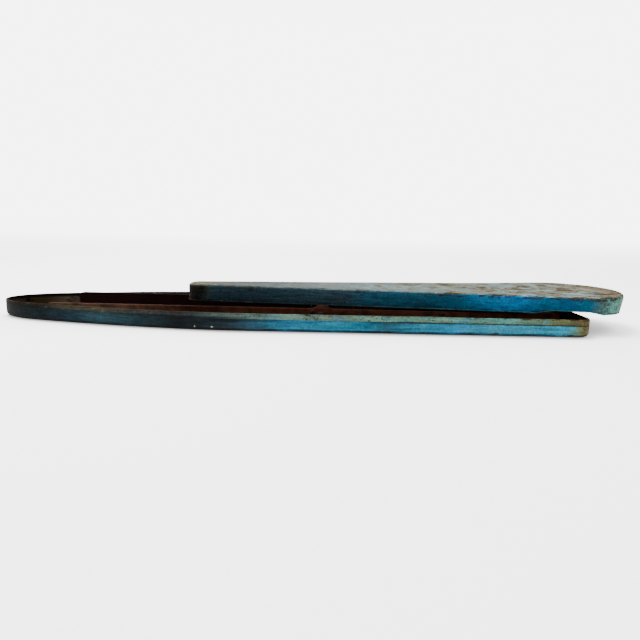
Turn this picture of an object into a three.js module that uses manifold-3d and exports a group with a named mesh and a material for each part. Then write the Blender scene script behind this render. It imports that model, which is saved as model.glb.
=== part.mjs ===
// Folding tabletop sleeve board, folded flat. Millimetres, +Z up.
// Origin: centre of the bounding box on the table plane. +X points to the round nose of the upper board.
import * as THREE from "three";
import { mergeVertices } from "three/addons/utils/BufferGeometryUtils.js";
import Module from "manifold-3d";

const wasm = await Module();
wasm.setup();

// ---------- driving dimensions ----------
const SHEET = 1.2;              // pressed sheet of boards and channels
const GAP = 0.3;                // clearance between neighbouring pieces

// lower board: face down on the table, flange turned up
const LOWER_HEIGHT = 18.2;
const LOWER_HALF_WIDTH = 72;
const LOWER_TAIL_X = 274.3;     // straight end
const LOWER_CORNER = 14;
const LOWER_BEND = 4.5;
const LIP_HEIGHT = 5.6;         // folded lip along the rim
const LIP_PROUD = 0.9;
const LIP_THICK = 2.3;
// the tapering nose: an ellipse at the tip, then flanks that ease out to the full width
const NOSE_TIP_X = -331.9;
const NOSE_ELLIPSE = { a: 84.2, b: 41.7 };
const NOSE_JOIN_X = -288;
const FLANK_END_X = -78;
const FLANK_DROP = 35.2;        // how much narrower the board is at the join, per side
const FLANK_POWER = 1.58;

// upper board: face up, flange turned down
const TOP_Z = 37.25;
const UPPER_FLANGE_BOTTOM = 19.85;
const UPPER_BEND = 3;
const HEM_HEIGHT = 1.6;
const HEM_PROUD = 0.4;
const HEM_THICK = 1.9;
// half an ellipse at the narrow end, widening sides, half an ellipse at the round nose
const NARROW_END = { x: -133.6, a: 12.5, b: 14.6 };
const ROUND_NOSE = { x: 331.9, a: 61, b: 58 };
const SIDE_STATIONS = [[-58, 20.6], [7, 26.4], [102, 36], [187, 44], [235, 52.2]];
const RECESS_X = [226, 292];    // shallow finger arch in the flange
const RECESS_HEIGHT = 3.4;

// channels of bent sheet
const CHANNEL_BEND = 2.6;
const CHANNEL_CORNER = 6;       // upper corners of the side plates at both ends

// channel riveted into the lower board
const LOWER_CHANNEL_X = [-271, 256];
const LOWER_CHANNEL_HALF = 38.5;
const LOWER_CHANNEL_TOP = [19.5, 17.6];   // the plates get lower toward the straight end
const EAR_TOP = 22;             // raised ear at the left pivot
const EAR_HALF = 12;

// channel riveted into the upper board
const UPPER_CHANNEL_X = [100, 282];
const UPPER_CHANNEL_HALF = 26.4;
const UPPER_CHANNEL_BOTTOM = 22;

// two equal legs make a parallelogram with the boards
const LEG_LENGTH = 114;         // pivot to pivot
const LEG_HALF = 5.8;           // half height of an arm
const LEG_SHEET = 1.6;
const LEG_OUTER = 23.6;         // outer face of an arm from the centre line
const LEG_BEND = 3;
const LEG_WEB_START = 14;       // the web stops this far from each pivot
const LEG_SLOT = { start: 40, half: 8 };
const LOWER_PIVOTS_X = [12, 144];
const LOWER_PIVOT_Z = 10.5;
const UPPER_PIVOT_Z = 28.2;
const OPENING_DEGREES = 88;
const FOLDED_ANGLE = Math.asin((UPPER_PIVOT_Z - LOWER_PIVOT_Z) / LEG_LENGTH);
const LEG_REACH = LEG_LENGTH * Math.cos(FOLDED_ANGLE);
const OPEN_ANGLE = FOLDED_ANGLE + THREE.MathUtils.degToRad(OPENING_DEGREES);
const PIN_R = 2.5;
const PIN_HOLE_R = 2.8;
const PIN_HEAD_R = { lower: 5, upper: 4.6 };
const SPACER_R = 4.4;
const WASHER_R = 5.2;
const STOP_R = 3;
const STOP_TENON_R = 2.1;
const STOP_ALONG = 5;           // where along the open leg its edge meets the stop rod

// flush rivets
const RIVET_R = 2;
const RIVET_HOLE_R = 2.3;
const COUNTERSINK_R = 3.6;
const RIVET_SUNK = 0.05;        // heads sit just under the board face
const HEAD_DEPTH = 1;           // depth of a countersunk head
const LOWER_RIVETS_X = [-233, -93, 77, 217];
const LOWER_RIVET_Y = 30;
const UPPER_RIVETS_X = [142, 198, 272];
const UPPER_RIVET_Y = 14;

// ---------- materials ----------
const BLUE_PAINT = { color: 0x2f7d99, roughness: 0.55, metalness: 0.15 };
const PALE_PAINT = { color: 0x8fa39a, roughness: 0.65, metalness: 0.1 };
const RUSTY_STEEL = { color: 0x5a3026, roughness: 0.85, metalness: 0.35 };
const DARK_STEEL = { color: 0x4a3a33, roughness: 0.6, metalness: 0.7 };
const WORN_STEEL = { color: 0x7a6a5c, roughness: 0.5, metalness: 0.8 };

const group = new THREE.Group();
group.name = "folding_sleeve_board";

// ---------- helpers ----------
function toManifold(geometry) {
  let g = geometry.clone();
  g.deleteAttribute("normal");
  g.deleteAttribute("uv");
  g = mergeVertices(g, 1e-4);
  const mesh = new wasm.Mesh({
    numProp: 3,
    vertProperties: Float32Array.from(g.attributes.position.array),
    triVerts: Uint32Array.from(g.index.array),
  });
  return new wasm.Manifold(mesh);
}

function toGeometry(solid) {
  const mesh = solid.getMesh();
  const g = new THREE.BufferGeometry();
  g.setAttribute("position", new THREE.BufferAttribute(mesh.vertProperties, 3));
  g.setIndex(new THREE.BufferAttribute(mesh.triVerts, 1));
  g.computeVertexNormals();
  return g;
}

function addPiece(name, solid, material) {
  const geometry = solid.isBufferGeometry ? solid : toGeometry(solid);
  const mesh = new THREE.Mesh(geometry, new THREE.MeshStandardMaterial(material));
  mesh.name = name;
  group.add(mesh);
}

// closed outline moved inward by a distance; the outline runs anticlockwise
function insetOutline(outline, distance) {
  const n = outline.length;
  return outline.map((p, i) => {
    const before = outline[(i + n - 1) % n];
    const after = outline[(i + 1) % n];
    const a = new THREE.Vector2(before.y - p.y, p.x - before.x).normalize();
    const b = new THREE.Vector2(p.y - after.y, after.x - p.x).normalize();
    const mid = a.clone().add(b).normalize();
    return p.clone().addScaledVector(mid, distance / Math.max(0.3, mid.dot(a)));
  });
}

// pressed tray: rings of [inset, z] joined by walls, closed by a flat cap on the first and last ring
function trayGeometry(outline, rings) {
  const n = outline.length;
  const position = [];
  const index = [];
  for (const [inset, z] of rings) {
    for (const p of insetOutline(outline, inset)) position.push(p.x, p.y, z);
  }
  for (let r = 0; r + 1 < rings.length; r++) {
    for (let i = 0; i < n; i++) {
      const a = r * n + i;
      const b = r * n + ((i + 1) % n);
      index.push(a, b, b + n, a, b + n, a + n);
    }
  }
  const capAt = (ring, flip) => {
    const points = insetOutline(outline, rings[ring][0]);
    for (const [i, j, k] of THREE.ShapeUtils.triangulateShape(points, [])) {
      const o = ring * n;
      if (flip) index.push(o + i, o + k, o + j);
      else index.push(o + i, o + j, o + k);
    }
  };
  capAt(0, true);
  capAt(rings.length - 1, false);
  const g = new THREE.BufferGeometry();
  g.setAttribute("position", new THREE.Float32BufferAttribute(position, 3));
  g.setIndex(index);
  return g;
}

// quarter bend of a tray corner, from flat to upright, about the centre of the outside bend radius
function bendRings(wall, radius, centreRadius, steps) {
  const rings = [];
  for (let k = 0; k <= steps; k++) {
    const a = (k / steps) * Math.PI / 2;
    rings.push([wall + centreRadius - radius * Math.sin(a), centreRadius - radius * Math.cos(a)]);
  }
  return rings;
}

// prism with its section in the X-Z plane, running across Y from y0 to y1
function prismAcross(shape, y0, y1, curveSegments = 10) {
  const g = new THREE.ExtrudeGeometry(shape, { depth: y1 - y0, bevelEnabled: false, curveSegments });
  g.rotateX(Math.PI / 2);
  g.translate(0, y1, 0);
  return toManifold(g);
}

// prism with its section in the Y-Z plane, running along X from x0 to x1
function prismAlong(shape, x0, x1, curveSegments = 6) {
  const g = new THREE.ExtrudeGeometry(shape, { depth: x1 - x0, bevelEnabled: false, curveSegments });
  g.rotateX(Math.PI / 2);
  g.rotateZ(Math.PI / 2);
  g.translate(x0, 0, 0);
  return toManifold(g);
}

function box(x0, x1, y0, y1, z0, z1) {
  const g = new THREE.BoxGeometry(x1 - x0, y1 - y0, z1 - z0);
  g.translate((x0 + x1) / 2, (y0 + y1) / 2, (z0 + z1) / 2);
  return toManifold(g);
}

// turned piece about the Y axis; profile entries are [radius, y]
function turnedAcross(profile, x, z, segments = 16) {
  const g = new THREE.LatheGeometry(profile.map(([r, y]) => new THREE.Vector2(r, y)), segments);
  g.translate(x, 0, z);
  return toManifold(g);
}

// turned piece about the Z axis; profile entries are [radius, z]
function turnedUpright(profile, x, y, segments = 12) {
  const g = new THREE.LatheGeometry(profile.map(([r, z]) => new THREE.Vector2(r, z)), segments);
  g.rotateX(Math.PI / 2);
  g.translate(x, y, 0);
  return toManifold(g);
}

// the same turned profile on the other side of the centre line
function mirrored(profile) {
  return profile.map(([r, y]) => [r, -y]).reverse();
}

function roundBarAcross(radius, x, z, y0, y1, segments = 16) {
  return turnedAcross([[0, y0], [radius, y0], [radius, y1], [0, y1]], x, z, segments);
}

// U section in the Y-Z plane: web at the bottom (up = 1) or at the top (up = -1), rounded bends
function channelSection(half, webZ, edgeZ, sheet, bend) {
  const up = Math.sign(edgeZ - webZ);
  const inner = bend - sheet;
  const s = new THREE.Shape();
  const w = half - sheet;
  s.moveTo(-half, edgeZ);
  s.lineTo(-half, webZ + up * bend);
  s.quadraticCurveTo(-half, webZ, -half + bend, webZ);
  s.lineTo(half - bend, webZ);
  s.quadraticCurveTo(half, webZ, half, webZ + up * bend);
  s.lineTo(half, edgeZ);
  s.lineTo(w, edgeZ);
  s.lineTo(w, webZ + up * (sheet + inner));
  s.quadraticCurveTo(w, webZ + up * sheet, w - inner, webZ + up * sheet);
  s.lineTo(-w + inner, webZ + up * sheet);
  s.quadraticCurveTo(-w, webZ + up * sheet, -w, webZ + up * (sheet + inner));
  s.lineTo(-w, edgeZ);
  s.closePath();
  return s;
}

function roundedRect(x0, x1, z0, z1, r) {
  const s = new THREE.Shape();
  s.moveTo(x0 + r, z0);
  s.lineTo(x1 - r, z0);
  s.absarc(x1 - r, z0 + r, r, -Math.PI / 2, 0);
  s.lineTo(x1, z1 - r);
  s.absarc(x1 - r, z1 - r, r, 0, Math.PI / 2);
  s.lineTo(x0 + r, z1);
  s.absarc(x0 + r, z1 - r, r, Math.PI / 2, Math.PI);
  s.lineTo(x0, z0 + r);
  s.absarc(x0 + r, z0 + r, r, Math.PI, Math.PI * 1.5);
  return s;
}

// ---------- outlines ----------
// points of an elliptical arc about (cx, 0), both end angles included
function ellipseArc(cx, a, b, from, to, steps) {
  const points = [];
  for (let k = 0; k <= steps; k++) {
    const t = from + (k / steps) * (to - from);
    points.push(new THREE.Vector2(cx + a * Math.cos(t), b * Math.sin(t)));
  }
  return points;
}

function cornerArc(cx, cy, from, steps = 5) {
  const corner = new THREE.EllipseCurve(cx, cy, LOWER_CORNER, LOWER_CORNER, from, from + Math.PI / 2);
  return corner.getPoints(steps);
}

function lowerOutline() {
  const { a, b } = NOSE_ELLIPSE;
  const cx = NOSE_TIP_X + a;
  const join = Math.acos((NOSE_JOIN_X - cx) / a);
  const tip = ellipseArc(cx, a, b, join, 2 * Math.PI - join, 18);
  const flank = [];
  const flankSteps = 9;
  for (let k = 1; k <= flankSteps; k++) {
    const x = NOSE_JOIN_X + (k / flankSteps) * (FLANK_END_X - NOSE_JOIN_X);
    const narrow = (FLANK_END_X - x) / (FLANK_END_X - NOSE_JOIN_X);
    flank.push(new THREE.Vector2(x, LOWER_HALF_WIDTH - FLANK_DROP * Math.pow(narrow, FLANK_POWER)));
  }
  const nearFlank = flank.map((p) => new THREE.Vector2(p.x, -p.y));
  const cornerX = LOWER_TAIL_X - LOWER_CORNER;
  const cornerY = LOWER_HALF_WIDTH - LOWER_CORNER;
  return [
    ...tip,
    ...nearFlank,
    ...cornerArc(cornerX, -cornerY, -Math.PI / 2),
    ...cornerArc(cornerX, cornerY, 0),
    ...flank.reverse(),
  ];
}

function upperOutline() {
  const quarter = Math.PI / 2;
  const nose = ellipseArc(ROUND_NOSE.x - ROUND_NOSE.a, ROUND_NOSE.a, ROUND_NOSE.b, -quarter, quarter, 18);
  const end = ellipseArc(NARROW_END.x + NARROW_END.a, NARROW_END.a, NARROW_END.b, quarter, 3 * quarter, 8);
  const stations = SIDE_STATIONS.map((station) => new THREE.Vector2(...station));
  const side = new THREE.SplineCurve([end[0], ...stations, nose.at(-1)]).getPoints(14).slice(1, -1);
  const nearSide = side.map((p) => new THREE.Vector2(p.x, -p.y));
  return [...nose, ...side.reverse(), ...end, ...nearSide];
}

// ---------- lower board ----------
const lowerRings = [
  ...bendRings(LIP_PROUD, LOWER_BEND, LOWER_BEND, 4),
  [LIP_PROUD, LOWER_HEIGHT - LIP_HEIGHT - 0.9],
  [LIP_PROUD + 0.35, LOWER_HEIGHT - LIP_HEIGHT - 0.5],
  [LIP_PROUD + 0.35, LOWER_HEIGHT - LIP_HEIGHT - 0.15],
  [0.35, LOWER_HEIGHT - LIP_HEIGHT + 0.1],
  [0, LOWER_HEIGHT - LIP_HEIGHT + 0.6],
  [0, LOWER_HEIGHT - 0.9],
  [0.3, LOWER_HEIGHT - 0.25],
  [0.9, LOWER_HEIGHT],
  [LIP_THICK - 0.8, LOWER_HEIGHT],
  [LIP_THICK - 0.2, LOWER_HEIGHT - 0.3],
  [LIP_THICK, LOWER_HEIGHT - 0.9],
  [LIP_THICK, LOWER_HEIGHT - LIP_HEIGHT + 0.5],
  [LIP_PROUD + SHEET, LOWER_HEIGHT - LIP_HEIGHT + 0.1],
  ...bendRings(LIP_PROUD, LOWER_BEND - SHEET, LOWER_BEND, 3).reverse(),
];
let lowerPan = toManifold(trayGeometry(lowerOutline(), lowerRings));

// ---------- upper board ----------
const upperDepth = TOP_Z - UPPER_FLANGE_BOTTOM;
const upperRings = [
  ...bendRings(HEM_PROUD, UPPER_BEND, UPPER_BEND, 4),
  [HEM_PROUD, upperDepth - HEM_HEIGHT - 0.3],
  [0, upperDepth - HEM_HEIGHT + 0.2],
  [0, upperDepth - 0.4],
  [0.4, upperDepth],
  [HEM_THICK - 0.4, upperDepth],
  [HEM_THICK, upperDepth - 0.4],
  [HEM_THICK, upperDepth - HEM_HEIGHT],
  [HEM_PROUD + SHEET, upperDepth - HEM_HEIGHT - 0.4],
  ...bendRings(HEM_PROUD, UPPER_BEND - SHEET, UPPER_BEND, 3).reverse(),
];
// the tray is formed face down and then turned over about the X axis
const upperTray = trayGeometry(upperOutline(), upperRings);
upperTray.rotateX(Math.PI);
upperTray.translate(0, 0, TOP_Z);
let upperPan = toManifold(upperTray);

const arch = new THREE.Shape();
const archLength = RECESS_X[1] - RECESS_X[0];
arch.moveTo(RECESS_X[0], UPPER_FLANGE_BOTTOM - 2);
arch.lineTo(RECESS_X[0], UPPER_FLANGE_BOTTOM - 0.02);
const archSteps = 16;
for (let k = 1; k < archSteps; k++) {
  const t = k / archSteps;
  const rise = Math.pow(Math.sin(Math.PI * Math.pow(t, 0.85)), 0.7);
  arch.lineTo(RECESS_X[0] + archLength * t, UPPER_FLANGE_BOTTOM + RECESS_HEIGHT * rise);
}
arch.lineTo(RECESS_X[1], UPPER_FLANGE_BOTTOM - 0.02);
arch.lineTo(RECESS_X[1], UPPER_FLANGE_BOTTOM - 2);
arch.closePath();
upperPan = upperPan.subtract(prismAcross(arch, -80, 80));

// ---------- channels ----------
const channelWebZ = SHEET + GAP;
const lowerWebTop = channelWebZ + SHEET;
let lowerChannel = prismAlong(
  channelSection(LOWER_CHANNEL_HALF, channelWebZ, LOWER_CHANNEL_TOP[0], SHEET, CHANNEL_BEND),
  LOWER_CHANNEL_X[0],
  LOWER_CHANNEL_X[1],
);
// upper corners of the side plates are rounded off at both ends
const [plateStart, plateEnd] = LOWER_CHANNEL_X;
const plateTop = (x) => THREE.MathUtils.mapLinear(x, plateStart, plateEnd, ...LOWER_CHANNEL_TOP);
const plateCornerX = [plateStart + CHANNEL_CORNER, plateEnd - CHANNEL_CORNER];
const lowerPlate = new THREE.Shape();
lowerPlate.moveTo(plateStart, 0);
lowerPlate.lineTo(plateStart, plateTop(plateStart) - CHANNEL_CORNER);
lowerPlate.quadraticCurveTo(plateStart, plateTop(plateStart), plateCornerX[0], plateTop(plateCornerX[0]));
lowerPlate.lineTo(plateCornerX[1], plateTop(plateCornerX[1]));
lowerPlate.quadraticCurveTo(plateEnd, plateTop(plateEnd), plateEnd, plateTop(plateEnd) - CHANNEL_CORNER);
lowerPlate.lineTo(plateEnd, 0);
lowerPlate.closePath();
lowerChannel = lowerChannel.intersect(prismAcross(lowerPlate, -50, 50));
// a raised ear carries the left pivot on each side plate
const earX = LOWER_PIVOTS_X[0];
const earFoot = plateTop(earX + EAR_HALF) - 0.02;
const ear = new THREE.Shape();
ear.moveTo(earX - EAR_HALF, earFoot - 4);
ear.lineTo(earX - EAR_HALF, earFoot);
ear.quadraticCurveTo(earX - EAR_HALF * 0.65, earFoot, earX - EAR_HALF * 0.45, EAR_TOP - 0.4);
ear.quadraticCurveTo(earX, EAR_TOP + 0.4, earX + EAR_HALF * 0.45, EAR_TOP - 0.4);
ear.quadraticCurveTo(earX + EAR_HALF * 0.65, earFoot, earX + EAR_HALF, earFoot);
ear.lineTo(earX + EAR_HALF, earFoot - 4);
ear.closePath();
for (const side of [-1, 1]) {
  const inner = side * (LOWER_CHANNEL_HALF - SHEET);
  const outer = side * LOWER_CHANNEL_HALF;
  lowerChannel = lowerChannel.add(prismAcross(ear, Math.min(inner, outer), Math.max(inner, outer), 6));
}

const upperWebZ = TOP_Z - SHEET - GAP;
const upperWebUnder = upperWebZ - SHEET;
let upperChannel = prismAlong(
  channelSection(UPPER_CHANNEL_HALF, upperWebZ, UPPER_CHANNEL_BOTTOM, SHEET, CHANNEL_BEND),
  UPPER_CHANNEL_X[0],
  UPPER_CHANNEL_X[1],
);
const upperPlate = roundedRect(...UPPER_CHANNEL_X, UPPER_CHANNEL_BOTTOM, 50, CHANNEL_CORNER);
upperChannel = upperChannel.intersect(prismAcross(upperPlate, -50, 50));

// pivot and stop-rod holes
const stopOffset = LEG_HALF + STOP_R + GAP;
const stopDX = STOP_ALONG * Math.cos(OPEN_ANGLE) - stopOffset * Math.sin(OPEN_ANGLE);
const stopDZ = STOP_ALONG * Math.sin(OPEN_ANGLE) + stopOffset * Math.cos(OPEN_ANGLE);
for (const pivotX of LOWER_PIVOTS_X) {
  lowerChannel = lowerChannel.subtract(roundBarAcross(PIN_HOLE_R, pivotX, LOWER_PIVOT_Z, -50, 50));
  lowerChannel = lowerChannel.subtract(
    roundBarAcross(STOP_TENON_R + GAP, pivotX + stopDX, LOWER_PIVOT_Z + stopDZ, -50, 50),
  );
  const upperX = pivotX + LEG_REACH;
  upperChannel = upperChannel.subtract(roundBarAcross(PIN_HOLE_R, upperX, UPPER_PIVOT_Z, -50, 50));
}

// ---------- flush rivets ----------
// countersunk head in the board face, domed head inside the channel
function rivetProfile(faceZ, domeZ) {
  const up = Math.sign(domeZ - faceZ);
  const profile = [
    [0, faceZ + up * RIVET_SUNK],
    [COUNTERSINK_R, faceZ + up * RIVET_SUNK],
    [RIVET_R, faceZ + up * (RIVET_SUNK + HEAD_DEPTH)],
    [RIVET_R, domeZ + up * GAP],
    [1.65 * RIVET_R, domeZ + up * GAP],
    [1.5 * RIVET_R, domeZ + up * 1.0],
    [RIVET_R, domeZ + up * 1.6],
    [0, domeZ + up * 1.85],
  ];
  return up > 0 ? profile : profile.reverse();
}

function countersunkHole(faceZ, domeZ) {
  const up = Math.sign(domeZ - faceZ);
  const profile = [
    [0, faceZ - up],
    [COUNTERSINK_R + GAP, faceZ - up],
    [COUNTERSINK_R + GAP, faceZ + up * RIVET_SUNK],
    [RIVET_HOLE_R, faceZ + up * (RIVET_SUNK + HEAD_DEPTH)],
    [RIVET_HOLE_R, domeZ + up],
    [0, domeZ + up],
  ];
  return up > 0 ? profile : profile.reverse();
}

const sides = [["near", -1], ["far", 1]];
const rivets = [];
LOWER_RIVETS_X.forEach((x, i) => {
  for (const [label, side] of sides) {
    const y = side * LOWER_RIVET_Y;
    const hole = turnedUpright(countersunkHole(0, lowerWebTop), x, y);
    lowerPan = lowerPan.subtract(hole);
    lowerChannel = lowerChannel.subtract(hole);
    rivets.push([`lower_rivet_${i + 1}_${label}`, turnedUpright(rivetProfile(0, lowerWebTop), x, y)]);
  }
});
UPPER_RIVETS_X.forEach((x, i) => {
  for (const [label, side] of sides) {
    const y = side * UPPER_RIVET_Y;
    const hole = turnedUpright(countersunkHole(TOP_Z, upperWebUnder), x, y);
    upperPan = upperPan.subtract(hole);
    upperChannel = upperChannel.subtract(hole);
    rivets.push([`upper_rivet_${i + 1}_${label}`, turnedUpright(rivetProfile(TOP_Z, upperWebUnder), x, y)]);
  }
});

addPiece("lower_board_pan", lowerPan, BLUE_PAINT);
addPiece("upper_board_pan", upperPan, BLUE_PAINT);
addPiece("lower_channel", lowerChannel, RUSTY_STEEL);
addPiece("upper_channel", upperChannel, RUSTY_STEEL);
for (const [name, solid] of rivets) addPiece(name, solid, name.startsWith("upper") ? PALE_PAINT : DARK_STEEL);

// ---------- legs ----------
// built lying along +X from its lower pivot, web on the upper side, then set to the folded angle
function legSolid(pivotX) {
  let leg = prismAlong(
    channelSection(LEG_OUTER, LEG_HALF, -LEG_HALF, LEG_SHEET, LEG_BEND),
    -LEG_HALF,
    LEG_LENGTH + LEG_HALF,
  );
  leg = leg.intersect(
    prismAcross(roundedRect(-LEG_HALF, LEG_LENGTH + LEG_HALF, -LEG_HALF, LEG_HALF, LEG_HALF - 0.01), -30, 30),
  );
  // the web stops short of both pivots and has one oblong opening
  const innerHalf = LEG_OUTER - LEG_SHEET - 1.4;
  const webEnd = LEG_LENGTH - LEG_WEB_START;
  leg = leg.subtract(box(-2 * LEG_HALF, LEG_WEB_START, -innerHalf, innerHalf, -10, 10));
  leg = leg.subtract(box(webEnd, LEG_LENGTH + 2 * LEG_HALF, -innerHalf, innerHalf, -10, 10));
  const slot = new THREE.Shape();
  slot.absarc(LEG_SLOT.start, 0, LEG_SLOT.half, Math.PI / 2, Math.PI * 1.5);
  slot.absarc(LEG_LENGTH - LEG_SLOT.start, 0, LEG_SLOT.half, -Math.PI / 2, Math.PI / 2);
  slot.closePath();
  const slotGeometry = new THREE.ExtrudeGeometry(slot, { depth: 20, bevelEnabled: false, curveSegments: 10 });
  leg = leg.subtract(toManifold(slotGeometry));
  for (const x of [0, LEG_LENGTH]) {
    leg = leg.subtract(roundBarAcross(PIN_HOLE_R, x, 0, -30, 30));
  }
  const g = toGeometry(leg);
  g.rotateY(-FOLDED_ANGLE);
  g.translate(pivotX, 0, LOWER_PIVOT_Z);
  return g;
}
addPiece("left_leg", legSolid(LOWER_PIVOTS_X[0]), RUSTY_STEEL);
addPiece("right_leg", legSolid(LOWER_PIVOTS_X[1]), RUSTY_STEEL);

// ---------- pins, spacers, washers, stop rods ----------
// pin with a domed head on the near side and a flatter peened head on the far side
function pinProfile(outerFace, headR) {
  const y = outerFace + GAP;
  return [
    [0, -y - 2.1],
    [headR * 0.55, -y - 1.9],
    [headR * 0.9, -y - 1.2],
    [headR, -y - 0.4],
    [headR, -y],
    [PIN_R, -y],
    [PIN_R, y],
    [headR * 0.85, y],
    [headR * 0.8, y + 0.9],
    [headR * 0.45, y + 1.4],
    [0, y + 1.5],
  ];
}

function sleeveProfile(inner, outer, y0, y1) {
  return [[inner, y0], [outer, y0], [outer, y1], [inner, y1], [inner, y0]];
}

// stop rod: a bar between the side plates, with peened tenons through them
function stopProfile() {
  const shoulder = LOWER_CHANNEL_HALF - SHEET - GAP;
  const y = LOWER_CHANNEL_HALF + GAP;
  const half = [
    [STOP_R, shoulder],
    [STOP_TENON_R, shoulder],
    [STOP_TENON_R, y],
    [STOP_R + 0.2, y],
    [STOP_TENON_R + 0.1, y + 1.1],
    [0, y + 1.2],
  ];
  return [...mirrored(half), ...half];
}

[["left", LOWER_PIVOTS_X[0]], ["right", LOWER_PIVOTS_X[1]]].forEach(([hand, x]) => {
  const upperX = x + LEG_REACH;
  const lowerPin = pinProfile(LOWER_CHANNEL_HALF, PIN_HEAD_R.lower);
  const upperPin = pinProfile(UPPER_CHANNEL_HALF, PIN_HEAD_R.upper);
  addPiece(`${hand}_lower_pin`, turnedAcross(lowerPin, x, LOWER_PIVOT_Z), WORN_STEEL);
  addPiece(`${hand}_upper_pin`, turnedAcross(upperPin, upperX, UPPER_PIVOT_Z), WORN_STEEL);
  addPiece(`${hand}_stop_rod`, turnedAcross(stopProfile(), x + stopDX, LOWER_PIVOT_Z + stopDZ), DARK_STEEL);
  const armFace = LEG_OUTER + GAP;
  const spacer = sleeveProfile(PIN_HOLE_R, SPACER_R, armFace, LOWER_CHANNEL_HALF - SHEET - GAP);
  const washer = sleeveProfile(PIN_HOLE_R, WASHER_R, armFace, UPPER_CHANNEL_HALF - SHEET - GAP);
  for (const [label, side] of sides) {
    const onSide = (profile) => (side > 0 ? profile : mirrored(profile));
    addPiece(`${hand}_spacer_${label}`, turnedAcross(onSide(spacer), x, LOWER_PIVOT_Z), DARK_STEEL);
    addPiece(`${hand}_washer_${label}`, turnedAcross(onSide(washer), upperX, UPPER_PIVOT_Z), WORN_STEEL);
  }
});

export default group;
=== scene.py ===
import math

import bmesh
import bpy
import numpy as np
from mathutils import Euler, Matrix, Vector, noise


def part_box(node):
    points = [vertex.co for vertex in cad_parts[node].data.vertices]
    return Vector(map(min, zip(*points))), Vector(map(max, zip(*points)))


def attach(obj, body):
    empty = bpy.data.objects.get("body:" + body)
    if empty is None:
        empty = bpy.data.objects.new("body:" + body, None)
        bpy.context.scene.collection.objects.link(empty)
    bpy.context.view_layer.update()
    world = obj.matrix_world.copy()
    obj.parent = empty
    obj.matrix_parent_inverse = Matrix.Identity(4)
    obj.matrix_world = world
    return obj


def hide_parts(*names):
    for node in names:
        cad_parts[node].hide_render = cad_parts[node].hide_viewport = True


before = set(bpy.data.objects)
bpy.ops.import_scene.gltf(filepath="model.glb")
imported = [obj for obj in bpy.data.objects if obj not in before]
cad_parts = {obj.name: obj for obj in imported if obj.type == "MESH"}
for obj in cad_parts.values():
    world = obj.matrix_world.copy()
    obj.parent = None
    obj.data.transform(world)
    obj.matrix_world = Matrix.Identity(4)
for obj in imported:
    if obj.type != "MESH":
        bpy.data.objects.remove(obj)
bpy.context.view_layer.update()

MM = 0.001

# ---------------------------------------------------------------------------
# Driving dimensions, in metres. The boards' boxes come from the frame.
# ---------------------------------------------------------------------------
SHEET = 1.2 * MM
LOWER_BEND = 4.5 * MM
UPPER_BEND = 3.0 * MM

lower_low, lower_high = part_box("lower_board_pan")
upper_low, upper_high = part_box("upper_board_pan")

# lower board: elliptical nose, curved flanks, then straight sides with rounded corners
LOWER_TIP_X = lower_low[0]
LOWER_TAIL_X = lower_high[0]
LOWER_HALF = lower_high[1]
LOWER_RIM = lower_high[2]
LOWER_CORNER = 14 * MM
NOSE_A, NOSE_B = 84.2 * MM, 41.7 * MM
NOSE_JOIN_X = -288 * MM
FLANK_END_X = -78 * MM
FLANK_DROP = 35.2 * MM
FLANK_POWER = 1.58
LIP_HEIGHT = 5.6 * MM
LIP_PROUD = 0.9 * MM
LIP_THICK = 2.3 * MM
LIP_START = LOWER_RIM - LIP_HEIGHT

# upper board: narrow rounded end, sides through a few stations of (x, half width), wide round nose
UPPER_HEIGHT = upper_high[2] - upper_low[2]
NARROW_A, NARROW_B = 12.5 * MM, 14.6 * MM
ROUND_A, ROUND_B = 61 * MM, 58 * MM
SIDE_STATIONS = [
    (-58 * MM, 20.6 * MM),
    (7 * MM, 26.4 * MM),
    (102 * MM, 36 * MM),
    (187 * MM, 44 * MM),
    (235 * MM, 52.2 * MM),
]
HEM_HEIGHT = 1.6 * MM
HEM_PROUD = 0.4 * MM
HEM_THICK = 1.9 * MM
RECESS_X = (226 * MM, 292 * MM)
RECESS_RISE = 3.4 * MM
RECESS_FULLNESS = 1.4  # above 1, the top of the arch is flat
RECESS_SIDE_Y = 30 * MM  # the finger arch is only in the flange on the two long sides

# how the pressed sheet has bent in use
FAR_RISE = 1.6 * MM  # the worn face stands a little higher along its far side
NOSE_RISE, NOSE_RISE_X = 0.5 * MM, 150 * MM  # the round nose is bent up a little
NOSE_DRAFT, NOSE_REACH, NOSE_LEAN_X = 2.2 * MM, 0.8 * MM, (280 * MM, 330 * MM)  # its flange leans in
NOSE_DROP, NOSE_DROP_X = 1.8 * MM, (296 * MM, 332 * MM)  # and its hem hangs lower
TIP_BULGE, TAIL_BULGE = 1.3 * MM, 1.2 * MM  # the lower flange is pushed out at both ends
END_REACH, END_ZONE = 0.8 * MM, 30 * MM  # the straight end reaches out a little

# ---------------------------------------------------------------------------
# Camera: low along the near side
# ---------------------------------------------------------------------------
CAMERA_PLACE = (0.0098, -0.563, 0.1111)
CAMERA_PITCH = math.radians(11.26)
CAMERA_ROLL = math.radians(1.14)
CAMERA_LENS, CAMERA_SENSOR = 29.25, 36  # millimetres, as Blender counts them


def make_camera():
    data = bpy.data.cameras.new("camera")
    data.sensor_width = CAMERA_SENSOR
    data.lens = CAMERA_LENS
    camera = bpy.data.objects.new("camera", data)
    bpy.context.scene.collection.objects.link(camera)
    camera.location = CAMERA_PLACE
    tilt = Euler((math.radians(90) - CAMERA_PITCH, 0, 0)).to_matrix()
    roll = Matrix.Rotation(CAMERA_ROLL, 3, "Z")
    camera.rotation_mode = "QUATERNION"
    camera.rotation_quaternion = (tilt @ roll).to_quaternion()
    bpy.context.scene.camera = camera


make_camera()


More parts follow.
